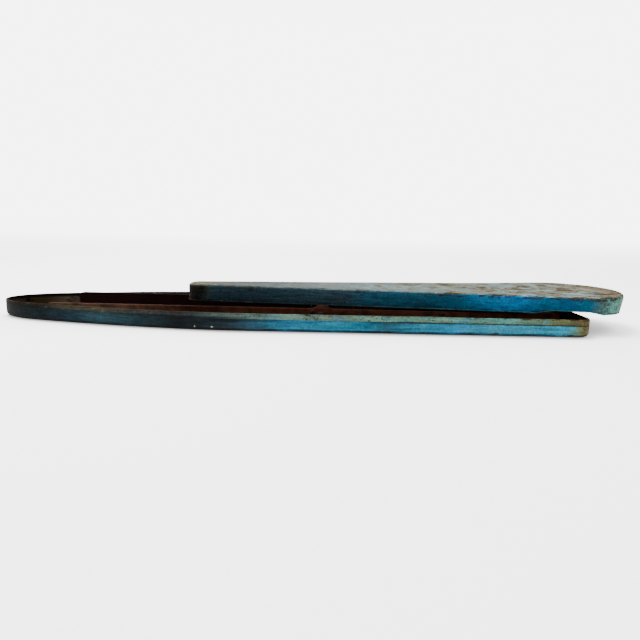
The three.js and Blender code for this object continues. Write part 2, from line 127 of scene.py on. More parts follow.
# ---------------------------------------------------------------------------
# Outlines: (x, half width) from the left end to the right end
# ---------------------------------------------------------------------------
def lower_half():
    points = []
    centre = LOWER_TIP_X + NOSE_A
    join = math.acos((NOSE_JOIN_X - centre) / NOSE_A)
    for k in range(36):
        angle = math.pi - (math.pi - join) * k / 36
        points.append((centre + NOSE_A * math.cos(angle), NOSE_B * math.sin(angle)))
    flank = FLANK_END_X - NOSE_JOIN_X
    for k in range(71):
        x = NOSE_JOIN_X + flank * k / 70
        narrow = (FLANK_END_X - x) / flank
        points.append((x, LOWER_HALF - FLANK_DROP * narrow**FLANK_POWER))
    corner_x = LOWER_TAIL_X - LOWER_CORNER
    for k in range(1, 100):
        points.append((FLANK_END_X + (corner_x - FLANK_END_X) * k / 100, LOWER_HALF))
    for k in range(13):
        angle = math.pi / 2 * (1 - k / 12)
        x = corner_x + LOWER_CORNER * math.cos(angle)
        points.append((x, LOWER_HALF - LOWER_CORNER * (1 - math.sin(angle))))
    return points


def catmull_rom(a, b, c, d, t):
    """Smooth curve from b to c at t between 0 and 1; a and d are the points beyond them."""
    v0, v1 = (c - a) / 2, (d - b) / 2
    cubic, square = 2 * b - 2 * c + v0 + v1, -3 * b + 3 * c - 2 * v0 - v1
    return cubic * t**3 + square * t**2 + v0 * t + b


def upper_half():
    left, right = upper_low[0], upper_high[0]
    points = []
    for k in range(18):
        angle = math.pi - math.pi / 2 * k / 18
        points.append((left + NARROW_A + NARROW_A * math.cos(angle), NARROW_B * math.sin(angle)))
    stations = [(left + NARROW_A, NARROW_B)]
    stations += SIDE_STATIONS
    stations += [(right - ROUND_A, ROUND_B)]
    last = len(stations) - 1
    for i in range(last):
        four = [stations[max(0, min(last, i + j))] for j in (-1, 0, 1, 2)]
        for k in range(20):
            x, w = (catmull_rom(*[s[axis] for s in four], k / 20) for axis in (0, 1))
            points.append((x, w))
    for k in range(49):
        angle = math.pi / 2 * (1 - k / 48)
        points.append((right - ROUND_A + ROUND_A * math.cos(angle), ROUND_B * math.sin(angle)))
    return points


# ---------------------------------------------------------------------------
# Pressed trays
# ---------------------------------------------------------------------------
RUNGS = 22  # vertices across a board's face between its two sides


def closed_loop(half):
    """Anticlockwise loop: near side from left to right, then the far side back."""
    near = [(x, -w) for x, w in half]
    far = [(x, w) for x, w in reversed(half)]
    end_x, end_w = half[-1]
    if end_w > 1e-6:
        across = [(end_x, end_w * (2 * k / (RUNGS + 1) - 1)) for k in range(1, RUNGS + 1)]
        return near + across + far[:-1], len(across)
    return near + far[1:-1], 0


def loop_normals(points):
    """Inward unit normals, scaled so that offset walls keep their spacing."""
    before, after = np.roll(points, 1, axis=0), np.roll(points, -1, axis=0)
    a, b = points - before, after - points
    a /= np.linalg.norm(a, axis=1)[:, None]
    b /= np.linalg.norm(b, axis=1)[:, None]
    na = np.stack([-a[:, 1], a[:, 0]], axis=1)
    mid = na + np.stack([-b[:, 1], b[:, 0]], axis=1)
    mid /= np.linalg.norm(mid, axis=1)[:, None]
    return mid / np.maximum(0.5, (mid * na).sum(axis=1))[:, None]


def wobble(x, y, scale, seed):
    """Smooth noise from -1 to 1; scale is in bumps to the metre."""
    return noise.noise(Vector((x * scale + seed, y * scale - seed, 2 * seed)))


class Profile:
    """Rings of a tray from the middle of the outer face, over the rim, to the middle of the inner face.

    A ring is (inset, depth, marks); marks are the amounts of each painted mask on it."""

    def __init__(self):
        self.rings = []

    def add(self, inset, depth, **marks):
        self.rings.append((inset, depth, marks))

    def arc(self, inset, depth, radius, start, end, steps, **marks):
        for k in range(steps + 1):
            angle = math.radians(start + (end - start) * k / steps)
            self.add(inset + radius * math.cos(angle), depth + radius * math.sin(angle), **marks)

    def wall(self, inset, depth_a, depth_b, steps, **marks):
        for k in range(1, steps):
            self.add(inset, depth_a + (depth_b - depth_a) * k / steps, **marks)


# shade marks where shade is painted into the colour: by the bottom fold and just above the hem
MASKS = ("face", "lip", "edge", "inside", "groove", "shade", "under")


def ring_faces(rings, n):
    """Quads between each ring of n vertices and the next one."""
    faces = []
    for r in range(rings - 1):
        for i in range(n):
            j = (i + 1) % n
            faces.append((r * n + i, r * n + j, (r + 1) * n + j, (r + 1) * n + i))
    return faces


def row_faces(rows, tip, end):
    """Quads between rows of vertices, with triangles to the tip and, unless it is None, to the end."""
    faces = []
    for a, b in zip(rows, rows[1:]):
        for k in range(len(a) - 1):
            faces.append((a[k], b[k], b[k + 1], a[k + 1]))
    first, last = rows[0], rows[-1]
    faces += [(tip, first[k], first[k + 1]) for k in range(len(first) - 1)]
    if end is not None:
        faces += [(last[k], end, last[k + 1]) for k in range(len(last) - 1)]
    return faces


def masked_mesh(name, verts, faces, marks):
    """Mesh with a number on each vertex for every mask."""
    mesh = bpy.data.meshes.new(name)
    mesh.from_pydata(verts, [], faces)
    table = np.array(marks)
    for column, key in enumerate(MASKS):
        layer = mesh.attributes.new(key, "FLOAT", "POINT")
        layer.data.foreach_set("value", table[:, column].astype(np.float32))
    return mesh


def tray(name, half, profile, z_of, shape):
    """Mesh of a pressed tray. z_of turns depth from the face into z; shape moves each finished vertex."""
    loop, across = closed_loop(half)
    loop = np.array(loop)
    inward = loop_normals(loop)
    n, count = len(loop), len(half)
    verts, marks = [], []

    def put(point, depth, normal, mark):
        x, y, moved = shape(point[0], point[1], depth, normal)
        verts.append((x, y, z_of(moved)))
        marks.append([mark.get(key, 0.0) for key in MASKS])
        return len(verts) - 1

    def rows(ring_index):
        """Vertices across one of the two faces, each row from the near side to the far side."""
        inset, depth, mark = profile.rings[ring_index]
        ring = loop + inward * inset
        base = ring_index * n
        found = []
        for i in range(1, count - 1):
            row = [base + i]
            for k in range(1, RUNGS + 1):
                t = k / (RUNGS + 1)
                row.append(put(ring[i] * (1 - t) + ring[n - i] * t, depth, np.zeros(2), mark))
            found.append(row + [base + n - i])
        if across:
            found.append([base + count - 1 + k for k in range(across + 2)])
        return found

    for inset, depth, mark in profile.rings:
        ring = loop + inward * inset
        for i in range(n):
            put(ring[i], depth, inward[i], mark)
    faces = ring_faces(len(profile.rings), n)
    for ring_index, flip in ((0, True), (len(profile.rings) - 1, False)):
        base = ring_index * n
        end = None if across else base + count - 1
        new = row_faces(rows(ring_index), base, end)
        faces += [tuple(reversed(face)) for face in new] if flip else new
    return masked_mesh(name, verts, faces, marks)


def finish_piece(name, mesh, body, nodes, material, angle=40):
    """Puts a new piece in the scene in place of its CAD nodes."""
    bm = bmesh.new()
    bm.from_mesh(mesh)
    bmesh.ops.recalc_face_normals(bm, faces=bm.faces)
    bm.to_mesh(mesh)
    bm.free()
    mesh.shade_smooth()
    mesh.set_sharp_from_angle(angle=math.radians(angle))
    piece = bpy.data.objects.new(name, mesh)
    bpy.context.scene.collection.objects.link(piece)
    piece.data.materials.append(material)
    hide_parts(*nodes)
    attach(piece, body)


# ---------------------------------------------------------------------------
# Materials
# ---------------------------------------------------------------------------
class Nodes:
    """Small helpers that keep node code readable."""

    def __init__(self, tree, coordinates):
        self.tree = tree
        self.place = tree.nodes.new("ShaderNodeTexCoord").outputs[coordinates]

    def put(self, socket, value):
        if isinstance(value, bpy.types.NodeSocket):
            self.tree.links.new(value, socket)
        elif isinstance(value, tuple) and len(value) == 3 and socket.type == "RGBA":
            socket.default_value = (*value, 1)
        else:
            socket.default_value = value

    def stretched(self, stretch):
        mapping = self.tree.nodes.new("ShaderNodeMapping")
        self.put(mapping.inputs["Vector"], self.place)
        mapping.inputs["Scale"].default_value = stretch
        return mapping.outputs["Vector"]

    def noise(self, scale, detail=4.0, rough=0.6, stretch=(1, 1, 1), distortion=0.0):
        node = self.tree.nodes.new("ShaderNodeTexNoise")
        self.put(node.inputs["Vector"], self.stretched(stretch))
        node.inputs["Scale"].default_value = scale
        node.inputs["Detail"].default_value = detail
        node.inputs["Roughness"].default_value = rough
        node.inputs["Distortion"].default_value = distortion
        return node.outputs["Fac"]

    def mask(self, name):
        node = self.tree.nodes.new("ShaderNodeAttribute")
        node.attribute_name = name
        return node.outputs["Fac"]

    def axis(self, name):
        node = self.tree.nodes.new("ShaderNodeSeparateXYZ")
        self.put(node.inputs[0], self.place)
        return node.outputs[name]

    def math(self, operation, a, b=0.0):
        node = self.tree.nodes.new("ShaderNodeMath")
        node.operation = operation
        self.put(node.inputs[0], a)
        self.put(node.inputs[1], b)
        return node.outputs[0]

    def times(self, first, *others):
        for other in others:
            first = self.math("MULTIPLY", first, other)
        return first

    def plus(self, first, *others):
        for other in others:
            first = self.math("ADD", first, other)
        return first

    def most(self, first, *others):
        for other in others:
            first = self.math("MAXIMUM", first, other)
        return first

    def absolute(self, value):
        return self.math("ABSOLUTE", value)

    def scaled(self, value, factor, offset=0.0):
        """value * factor + offset"""
        node = self.tree.nodes.new("ShaderNodeMath")
        node.operation = "MULTIPLY_ADD"
        self.put(node.inputs[0], value)
        node.inputs[1].default_value = factor
        node.inputs[2].default_value = offset
        return node.outputs[0]

    def tinted(self, colour, factor):
        """Colour made lighter or darker."""
        node = self.tree.nodes.new("ShaderNodeVectorMath")
        node.operation = "SCALE"
        self.put(node.inputs[0], colour)
        node.inputs["Scale"].default_value = factor
        return node.outputs[0]

    def step(self, value, low, high):
        """0 below low, 1 above high, smooth between; low above high turns it round."""
        node = self.tree.nodes.new("ShaderNodeMapRange")
        node.interpolation_type = "SMOOTHSTEP"
        self.put(node.inputs["Value"], value)
        rising = low < high
        node.inputs["From Min"].default_value = low if rising else high
        node.inputs["From Max"].default_value = high if rising else low
        node.inputs["To Min"].default_value = 0 if rising else 1
        node.inputs["To Max"].default_value = 1 if rising else 0
        return node.outputs["Result"]

    def window(self, value, rise, fall):
        """1 between rise and fall, each a pair for step."""
        return self.times(self.step(value, *rise), self.step(value, *fall))

    def ramp(self, value, stops):
        node = self.tree.nodes.new("ShaderNodeValToRGB")
        self.put(node.inputs["Fac"], value)
        elements = node.color_ramp.elements
        while len(elements) < len(stops):
            elements.new(0.5)
        for element, (position, colour) in zip(elements, stops):
            element.position = position
            element.color = (*colour, 1)
        return node.outputs["Color"]

    def mix(self, amount, a, b):
        node = self.tree.nodes.new("ShaderNodeMix")
        node.data_type = "RGBA"
        self.put(node.inputs[0], amount)
        self.put(node.inputs[6], a)
        self.put(node.inputs[7], b)
        return node.outputs[2]

    def between(self, amount, a, b):
        """Number mixed from a to b."""
        node = self.tree.nodes.new("ShaderNodeMix")
        self.put(node.inputs[0], amount)
        self.put(node.inputs[2], a)
        self.put(node.inputs[3], b)
        return node.outputs[0]

    def bump(self, height, strength, distance, below=None):
        node = self.tree.nodes.new("ShaderNodeBump")
        node.inputs["Strength"].default_value = strength
        node.inputs["Distance"].default_value = distance
        self.put(node.inputs["Height"], height)
        if below is not None:
            self.put(node.inputs["Normal"], below)
        return node.outputs["Normal"]


class Graph(Nodes):
    """A material's nodes around its one shader."""

    def __init__(self, name):
        self.material = bpy.data.materials.new(name)
        self.material.use_nodes = True
        super().__init__(self.material.node_tree, "Object")
        self.shader = self.tree.nodes["Principled BSDF"]

    def finish(self, colour, roughness, normal, ior, specular):
        self.put(self.shader.inputs["Base Color"], colour)
        self.put(self.shader.inputs["Roughness"], roughness)
        self.put(self.shader.inputs["Normal"], normal)
        self.shader.inputs["IOR"].default_value = ior
        self.shader.inputs["Specular IOR Level"].default_value = specular
        return self.material


DARK_RUST = (0.010, 0.0065, 0.005)
BROWN_RUST = (0.026, 0.015, 0.009)
TAN_RUST = (0.085, 0.060, 0.035)
# rust made near black as painted shade, for faces inside the boards
INNER_RUST_AND_SHADE = (0.008, 0.0022, 0.0016)
MAROON = (0.020, 0.0055, 0.004)
# maroon painted lighter as light on faces that catch it; also the pale grain of the sunk pins' rust
LIT_MAROON = (0.070, 0.022, 0.012)
# lit maroon for the left end of the channel's outer faces, painted light
LIT_TAN_MAROON = (0.125, 0.060, 0.036)
# dark colour for grime patches and for the painted shade by the folds
GRIME_AND_SHADE = (0.007, 0.008, 0.008)
FACE_DIRT = (0.052, 0.046, 0.032)
FACE_RUST = (0.050, 0.034, 0.014)
CREAM = (0.130, 0.115, 0.075)
WORN_BEIGE = (0.155, 0.125, 0.052)
PRIMER = (0.23, 0.25, 0.21)
CHIP = (0.30, 0.26, 0.17)
OLIVE_PAINT, CREAM_PAINT = (0.080, 0.052, 0.022), (0.22, 0.19, 0.13)
# paint colour for low on the inner wall, darkened as painted shade
SHADED_LOW_PAINT = (0.045, 0.034, 0.020)
PAINT_TONE = 0.72

# places along the boards where the wear and the painted shade change: the pair that a step runs between,
# or, for a stretch, the pair where it begins and the pair where it ends
TAILWARD_X = (40 * MM, 110 * MM)
CORNER_X = (264 * MM, 256 * MM)
# painted shadow under the lip along the first stretch; along the second only a darker band under it
LIP_SHADOW_X = ((-115 * MM, -90 * MM), (-5 * MM, -45 * MM))
SECOND_DARK_X = ((50 * MM, 66 * MM), (104 * MM, 84 * MM))
CHIPS = ((-95 * MM, 1.7 * MM), (-112 * MM, 0.7 * MM))  # (x, half length)
CHIP_Z, CHIP_HALF_HEIGHT = 4.2 * MM, 1.1 * MM


def rust_colour(g, dark, middle, light):
    """Rust from dark pits to pale powder, in blotches with a fine grain."""
    blotch = g.noise(60, 8, 0.65)
    grain = g.noise(700, 4, 0.7)
    base = g.ramp(blotch, [(0.36, dark), (0.56, middle)])
    return g.mix(g.step(grain, 0.52, 0.72), base, light)


def lip_paint(g, x, side, lip, dim_from):
    """Mottled with the side's colour and cream; its lower half is darker toward the narrow end, partly
    stain and partly painted shade.
    """
    patches = g.noise(170, 5, 0.65, (0.45, 1, 1))
    lip = g.mix(g.scaled(g.step(patches, 0.50, 0.64), 0.5), lip, side)
    lip = g.mix(g.scaled(g.step(patches, 0.44, 0.32), 0.3), lip, CREAM)
    # partly stain and partly painted shade on the lip's lower half
    dim = g.times(g.mask("under"), g.step(x, dim_from, dim_from - 60 * MM))
    return g.mix(g.scaled(dim, 0.85), lip, g.tinted(side, 0.6))


def face_paint(g, face):
    """Chalky paint with grey-brown streaks and paler patches of blue, and a painted highlight along the
    fold.
    """
    tone = g.noise(95, 6, 0.7, (0.6, 1, 1))
    face = g.mix(g.step(tone, 0.52, 0.60), face, g.tinted(face, 1.5))
    face = g.mix(g.scaled(g.step(tone, 0.46, 0.38), 0.8), face, FACE_DIRT)
    # painted highlight: the face is lighter next to the fold
    return g.mix(g.scaled(g.mask("edge"), 0.7), face, g.tinted(face, 1.4))


def mottled(g, paint, mottle, speckle):
    """Brush streaks along the board and a fine mottling all over it."""
    streaks = g.noise(420, 4, 0.6, (0.07, 1, 1))
    layers = (
        (streaks, 0.50, 0.66, 1.35),
        (streaks, 0.48, 0.34, 0.65),
        (mottle, 0.52, 0.66, 1.3),
        (mottle, 0.48, 0.34, 0.7),
        (speckle, 0.53, 0.66, 1.7),
        (speckle, 0.47, 0.34, 0.45),
    )
    for pattern, start, full, factor in layers:
        paint = g.mix(g.step(pattern, start, full), paint, g.tinted(paint, factor))
    return paint


def grimed_and_shaded(g, x, paint, tailward):
    """Grime in soft patches; painted shade next to the folds and, toward the right end, in the crease
    under the lip; a painted shadow under the lip along one stretch and a darker band under it along
    another.
    """
    # painted shade: darker next to the folds and, toward the right end, in the crease under the lip
    seam = g.times(g.mask("groove"), g.times(tailward, g.step(x, *CORNER_X)))
    shade = g.most(g.mask("shade"), g.scaled(seam, 0.9))
    grime_and_shade = g.plus(g.noise(45, 6, 0.65, (0.6, 1, 1)), g.scaled(shade, 0.34))
    paint = g.mix(g.scaled(g.step(grime_and_shade, 0.56, 0.80), 0.8), paint, GRIME_AND_SHADE)
    # painted shadow under the lip along one stretch, and a darker band under it along another
    band = g.most(g.window(x, *LIP_SHADOW_X), g.scaled(g.window(x, *SECOND_DARK_X), 0.8))
    top = (LIP_START + 0.6 * MM, LIP_START)
    bottom = (LIP_START - 4.5 * MM, LIP_START - 1.6 * MM)
    band = g.times(band, g.window(g.axis("Z"), bottom, top))
    return g.mix(g.scaled(band, 0.75), paint, g.tinted(paint, 0.3))


def fold_rust(g, x, tailward, patchy, vein_from):
    """Dashes along the folds, more of them to the right, most on the far side of the right end."""
    dashes = g.noise(430, 5, 0.7, (0.28, 1, 1))
    near_edge = g.plus(dashes, g.scaled(g.mask("edge"), 0.17), g.scaled(patchy, 0.35, -0.175))
    near_edge = g.plus(near_edge, g.scaled(tailward, 0.03, -0.03))
    at_end = g.times(g.mask("edge"), g.step(x, vein_from - 60 * MM, vein_from))
    at_end = g.times(at_end, g.scaled(g.step(g.axis("Y"), -20 * MM, 0.0), 0.12, 0.03))
    return g.step(g.plus(near_edge, at_end), 0.66, 0.74)


def specks_of_rust(g):
    """Small spots everywhere, more of them on the face and most on the lip."""
    specks = g.plus(g.noise(620, 4, 0.65, (0.7, 1, 1)), g.scaled(g.noise(45, 3, 0.6), 0.3, -0.15))
    specks = g.plus(specks, g.scaled(g.mask("face"), 0.03), g.scaled(g.mask("lip"), 0.055))
    return g.step(specks, 0.66, 0.71)


def rust_veins(g, x, patchy, vein_from):
    """Thin branching lines through the paint at the right end."""
    ridge = g.absolute(g.math("SUBTRACT", g.noise(95, 5, 0.65, distortion=0.8), 0.5))
    veins = g.times(g.step(ridge, 0.026, 0.010), g.step(x, vein_from - 20 * MM, vein_from + 12 * MM))
    return g.times(veins, g.step(patchy, 0.46, 0.56))


def groove_rust(g, tailward):
    """A broken brown line where the lip meets the side."""
    groove = g.plus(g.mask("groove"), g.scaled(g.noise(70, 5, 0.65, (0.35, 1, 1)), 1.6, -0.8))
    groove = g.times(g.step(groove, 0.62, 0.85), g.step(g.mask("groove"), 0.2, 0.6))
    return g.times(groove, g.scaled(tailward, 0.9, 0.1))


def face_wear(g, worn):
    """Streaks on the worn face; they grow with worn, a number from 0 to 1."""
    wear = g.plus(g.noise(150, 7, 0.75, (0.4, 1, 1)), g.scaled(g.noise(45, 4, 0.6), 0.5, -0.25))
    return g.plus(wear, g.scaled(worn, 0.36, -0.18))


def chipped(g, x, colour, speckle):
    """Two pale chips low down on the near side's dark stretch."""
    height = g.axis("Z")
    for chip_x, half_length in CHIPS:
        across = g.absolute(g.scaled(x, 1 / half_length, -chip_x / half_length))
        upward = g.absolute(g.scaled(height, 1 / CHIP_HALF_HEIGHT, -CHIP_Z / CHIP_HALF_HEIGHT))
        spread = g.plus(g.plus(across, upward), g.scaled(speckle, 2.0, -1.0))
        chip = g.times(g.step(spread, 1.1, 0.7), g.step(g.axis("Y"), 0.0, -10 * MM))
        chip = g.times(chip, g.step(g.mask("inside"), 0.2, 0.1))
        colour = g.mix(chip, colour, CHIP)
    return colour


def inner_side(g, x):
    """How bare the inner side is, and its colour: rust darkened as painted shade, with remains of paint at
    the narrow end, painted darker low down as shade, and a painted lit patch on the wall at the right end.
    """
    inside = g.mask("inside")
    bare = g.step(g.plus(inside, g.scaled(g.noise(60, 6, 0.7), 0.7, -0.35)), 0.40, 0.60)
    bare = g.times(bare, inside)
    height = g.axis("Z")
    remains = g.step(g.noise(90, 5, 0.7, (0.25, 1, 1)), 0.34, 0.50)
    remains = g.times(remains, g.step(x, -262 * MM, -280 * MM))
    remains = g.times(remains, g.step(height, 15.5 * MM, 13.5 * MM))
    paint = g.mix(g.step(x, -310 * MM, -275 * MM), OLIVE_PAINT, CREAM_PAINT)
    # painted shade: the paint is darker low down inside
    paint = g.mix(g.step(height, 4 * MM, 9 * MM), SHADED_LOW_PAINT, paint)
    # painted light: the inner wall at the right end gets the lit maroon
    lit_tail_wall = g.times(g.step(x, 255 * MM, 264 * MM), g.step(height, 15 * MM, 12 * MM))
    lit_tail_wall = g.times(lit_tail_wall, g.step(height, 2.5 * MM, 4 * MM))
    # rust made near black as painted shade inside the board
    rust = rust_colour(g, (0.006, 0.002, 0.0015), (0.014, 0.004, 0.003), MAROON)
    rust = g.mix(lit_tail_wall, rust, LIT_MAROON)
    return bare, g.mix(remains, rust, paint)


def board_paint(name, x_range, side_stops, lip_stops, face_stops, face_rust, vein_from, dim_from):
    """Old enamel on pressed steel. Colour drifts along the board; rust follows edges and fold lines; shade
    is painted next to the folds.

    Stops are colours, or for face_rust amounts, along x_range. Veins of rust begin near vein_from, and
    the darkening of the lower half of the lip, partly stain and partly painted shade, begins at dim_from
    and goes on to the left."""
    g = Graph(name)
    low, high = x_range
    x = g.axis("X")
    along = g.scaled(x, 1 / (high - low), -low / (high - low))
    along = g.plus(along, g.scaled(g.noise(30, 3, 0.6), 0.06, -0.03))
    side = g.ramp(along, side_stops)
    mottle = g.noise(430, 6, 0.75)
    speckle = g.noise(1100, 4, 0.7)
    patchy = g.noise(32, 4, 0.6)
    tailward = g.step(x, *TAILWARD_X)

    paint = g.mix(g.mask("face"), side, face_paint(g, g.ramp(along, face_stops)))
    paint = g.mix(g.mask("lip"), paint, lip_paint(g, x, side, g.ramp(along, lip_stops), dim_from))
    paint = grimed_and_shaded(g, x, mottled(g, paint, mottle, speckle), tailward)

    wear = face_wear(g, g.ramp(along, [(t, (v, v, v)) for t, v in face_rust]))
    beige = g.mix(g.step(speckle, 0.40, 0.60), g.tinted(WORN_BEIGE, 0.7), WORN_BEIGE)
    paint = g.mix(g.times(g.step(wear, 0.53, 0.63), g.mask("face")), paint, beige)
    streaked = g.times(g.step(wear, 0.60, 0.66), g.mask("face"))
    rusted = g.most(
        fold_rust(g, x, tailward, patchy, vein_from),
        streaked,
        specks_of_rust(g),
        rust_veins(g, x, patchy, vein_from),
        groove_rust(g, tailward),
    )
    colour = g.mix(g.scaled(rusted, 0.92), paint, rust_colour(g, DARK_RUST, BROWN_RUST, TAN_RUST))
    colour = g.mix(g.scaled(streaked, 0.6), colour, FACE_RUST)

    # pale scuffs where the paint wore through to primer
    scuffs = g.times(g.noise(330, 5, 0.75, (0.35, 1, 1)), g.scaled(g.mask("face"), 0.35, 0.65))
    colour = g.mix(g.scaled(g.step(scuffs, 0.58, 0.66), 0.6), colour, PRIMER)
    colour = chipped(g, x, colour, speckle)
    bare, inner_colour = inner_side(g, x)
    colour = g.tinted(g.mix(bare, colour, inner_colour), PAINT_TONE)

    rusted = g.most(rusted, bare)
    roughness = g.between(rusted, g.scaled(mottle, 0.3, 0.50), 0.92)
    flakes = g.bump(rusted, 0.5, 0.22 * MM, g.bump(mottle, 0.3, 0.25 * MM))
    relief = g.bump(g.noise(260, 8, 0.75), 0.35, 0.35 * MM, flakes)
    return g.finish(colour, roughness, relief, ior=1.18, specular=0.12)


def rusty_steel(name, dark, middle, light, wear, worn_colour, metal, outer=None):
    """Bare steel gone brown: rust blotches, darker runs, thin wear on sheared edges.

    outer is (half width, colour, colour at the left end) for faces beyond that half width: a lighter copy
    of the rust, painted on as light falling on those faces."""
    g = Graph(name)
    rust = rust_colour(g, dark, middle, light)
    if outer:
        # painted light: faces beyond the half width get a lit copy of the rust
        half, colour, left_colour = outer
        beyond = g.step(g.absolute(g.axis("Y")), half - 0.3 * MM, half)
        lit = g.mix(g.step(g.axis("X"), -120 * MM, -200 * MM), colour, left_colour)
        blotch = g.step(g.noise(60, 8, 0.65), 0.36, 0.56)
        rust = g.mix(beyond, rust, g.mix(blotch, g.tinted(lit, 0.5), lit))
    runs = g.noise(90, 6, 0.7, (0.3, 1, 1))
    rust = g.mix(g.scaled(g.step(runs, 0.5, 0.7), 0.6), rust, tuple(c * 0.5 for c in dark))
    bare = g.noise(230, 6, 0.7, (0.5, 1, 1))
    worn = g.step(g.plus(bare, g.scaled(g.mask("edge"), 0.20)), 0.68 - wear, 0.80 - wear)
    g.put(g.shader.inputs["Metallic"], g.scaled(worn, metal))
    roughness = g.between(worn, g.scaled(bare, 0.2, 0.72), 0.48)
    fine = g.bump(g.noise(700, 6, 0.75), 0.5, 0.3 * MM)
    relief = g.bump(g.noise(150, 6, 0.7), 0.4, 0.5 * MM, fine)
    return g.finish(g.mix(worn, rust, worn_colour), roughness, relief, ior=1.3, specular=0.15)


# ---------------------------------------------------------------------------
# The two boards
# ---------------------------------------------------------------------------
def lower_profile():
    p = Profile()
    centre = LIP_PROUD + LOWER_BEND
    inner = LIP_PROUD + SHEET
    roll = LIP_THICK / 2
    p.add(centre, 0, face=1)
    # the bottom fold gets painted shade as well as rust
    p.arc(centre, LOWER_BEND, LOWER_BEND, -96, -135, 4, edge=1, shade=1)
    p.arc(centre, LOWER_BEND, LOWER_BEND, -144, -162, 2, edge=0.9, shade=0.7)
    p.arc(centre, LOWER_BEND, LOWER_BEND, -170, -180, 2, edge=0.3)
    p.wall(LIP_PROUD, LOWER_BEND, LIP_START - 1.7 * MM, 6)
    # the crease under the lip: rust, and painted shade toward the right end
    p.add(LIP_PROUD, LIP_START - 1.3 * MM, groove=0.3)
    p.add(LIP_PROUD, LIP_START - 0.9 * MM, groove=0.9)
    p.add(LIP_PROUD + 0.15 * MM, LIP_START - 0.4 * MM, groove=1)
    p.add(LIP_PROUD + 0.2 * MM, LIP_START - 0.15 * MM, groove=1)
    turn = 0.5 * MM
    p.arc(turn, LIP_START + turn, turn, -90, -180, 4, lip=1, edge=0.35, under=1, groove=0.5)
    p.wall(0, LIP_START + turn, LIP_START + 1.7 * MM, 3, lip=1, under=1)
    p.wall(0, LIP_START + 1.7 * MM, LOWER_RIM - roll, 4, lip=1)
    p.arc(roll, LOWER_RIM - roll, roll, 180, 90, 5, lip=1, edge=0.85)
    p.arc(roll, LOWER_RIM - roll, roll, 70, 0, 4, inside=1, edge=1)
    p.wall(LIP_THICK, LOWER_RIM - roll, LIP_START + 0.4 * MM, 4, inside=0.6)
    p.add(inner, LIP_START, inside=1, groove=0.6)
    p.wall(inner, LIP_START - 0.4 * MM, LOWER_BEND, 6, inside=0.8)
    p.arc(centre, LOWER_BEND, LOWER_BEND - SHEET, 180, 264, 5, inside=1)
    p.add(centre, SHEET, inside=1)
    return p


def upper_profile():
    p = Profile()
    centre = HEM_PROUD + UPPER_BEND
    hem_start = UPPER_HEIGHT - HEM_HEIGHT
    inner = HEM_PROUD + SHEET
    roll = HEM_THICK / 2
    p.add(centre, 0, face=1)
    p.arc(centre, UPPER_BEND, UPPER_BEND, -96, -130, 3, face=1, edge=0.9)
    p.arc(centre, UPPER_BEND, UPPER_BEND, -142, -180, 4, edge=0.9)
    p.wall(HEM_PROUD, UPPER_BEND, hem_start - 0.5 * MM, 8)
    # painted shade just above the hem
    p.add(HEM_PROUD, hem_start - 0.4 * MM, shade=0.2)
    p.add(HEM_PROUD + 0.2 * MM, hem_start - 0.15 * MM, groove=0.3, shade=0.3)
    p.arc(roll, UPPER_HEIGHT - roll, roll, 200, 0, 10, lip=1, edge=0.2)
    p.add(inner, hem_start - 0.3 * MM, inside=1)
    p.wall(inner, hem_start - 0.6 * MM, UPPER_BEND, 6, inside=1)
    p.arc(centre, UPPER_BEND, UPPER_BEND - SHEET, 180, 264, 5, inside=1)
    p.add(centre, SHEET, inside=1)
    return p


def share(x, start, end):
    """0 up to start, 1 at end, and growing on past it."""
    return max(0.0, (x - start) / (end - start))


def lower_shape(x, y, depth, inward):
    """The free rim wavers, the face is uneven by a quarter of a millimetre, both ends are pushed out."""
    free = max(0.0, depth / LOWER_RIM) ** 1.5
    sway = (0.5 * wobble(x, y, 9, 3) + 0.12 * wobble(x, y, 60, 7)) * MM * free
    dip = (0.35 * wobble(x, y, 14, 11) + 0.08 * wobble(x, y, 90, 5)) * MM * free**2
    rise = abs(wobble(x, y, 16, 23)) * 0.25 * MM * (1 - free) if depth < LOWER_BEND else 0.0
    # at both ends the flange is bumped out almost flush with the lip
    bulge = TAIL_BULGE if x > 0 else TIP_BULGE
    if depth < LIP_START:
        sway -= bulge * inward[0] ** 2
    reach = END_REACH * share(x, LOWER_TAIL_X - END_ZONE, LOWER_TAIL_X)
    return x + inward[0] * sway + reach, y + inward[1] * sway, depth + dip + rise


def upper_shape(x, y, depth, inward):
    """Dented face, higher on its far side; a wavering hem, arched on each side; a leaning round nose."""
    free = max(0.0, depth / UPPER_HEIGHT) ** 1.5
    sway = (0.4 * wobble(x, y, 10, 13) + 0.1 * wobble(x, y, 70, 17)) * MM * free
    sway += (NOSE_DRAFT * free - NOSE_REACH * (1 - free)) * share(x, *NOSE_LEAN_X)
    dents = (0.12 * abs(wobble(x, y, 18, 31)) + 0.08 * abs(wobble(x, y, 55, 37))) * MM
    across = 0.5 + y / (2 * upper_high[1])
    raised = NOSE_RISE * share(x, NOSE_RISE_X, upper_high[0]) + FAR_RISE * across
    near_face = max(0.0, 1 - depth / (4 * UPPER_BEND))
    t = (x - RECESS_X[0]) / (RECESS_X[1] - RECESS_X[0])
    has_arch = 0 < t < 1 and abs(y) > RECESS_SIDE_Y
    arch = RECESS_RISE * min(1, RECESS_FULLNESS * math.sin(math.pi * t)) if has_arch else 0.0
    lift = arch * share(depth, UPPER_BEND, UPPER_HEIGHT)
    dip = 0.2 * MM * wobble(x, y, 15, 41) * free**2 + NOSE_DROP * free * share(x, *NOSE_DROP_X)
    return x + inward[0] * sway, y + inward[1] * sway, depth + (dents - raised) * near_face - lift + dip


